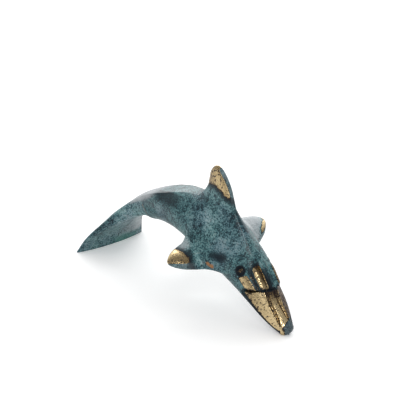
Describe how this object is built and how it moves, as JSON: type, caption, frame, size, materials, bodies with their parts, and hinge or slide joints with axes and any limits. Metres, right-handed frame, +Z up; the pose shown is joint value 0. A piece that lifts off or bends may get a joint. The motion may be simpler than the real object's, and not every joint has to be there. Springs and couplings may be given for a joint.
{
  "type": "dolphin figurine",
  "caption": "Solid cast bronze dolphin, arched in a dive, that stands on its flukes and the tip of its beak.",
  "frame": {"origin": "on the table, under the middle of the bounding box", "axes": "+X forwards from the flukes to the beak, +Y to the animal's left, +Z up"},
  "size_m": [0.1216, 0.0516, 0.0611],
  "materials": {
    "patina": "mottled blue-green patina over cast bronze, waxed to a low sheen, nearly black in the hollows",
    "polished_bronze": "cast bronze rubbed back to bright metal, with dark pits",
    "dark_bronze": "dark patina over cast bronze",
    "bronze_rod": "drawn bronze rod, as cut"
  },
  "bodies": {
    "root": {"body": "patina", "beak": "polished_bronze", "dorsal_fin": "patina", "right_pectoral_fin": "patina", "left_pectoral_fin": "patina", "tail_flukes": "patina", "right_eye": "dark_bronze", "left_eye": "dark_bronze", "dorsal_fin_dowel": "bronze_rod", "right_pectoral_dowel": "bronze_rod", "left_pectoral_dowel": "bronze_rod", "tail_dowel": "bronze_rod", "beak_dowel": "bronze_rod"}
  },
  "joints": []
}
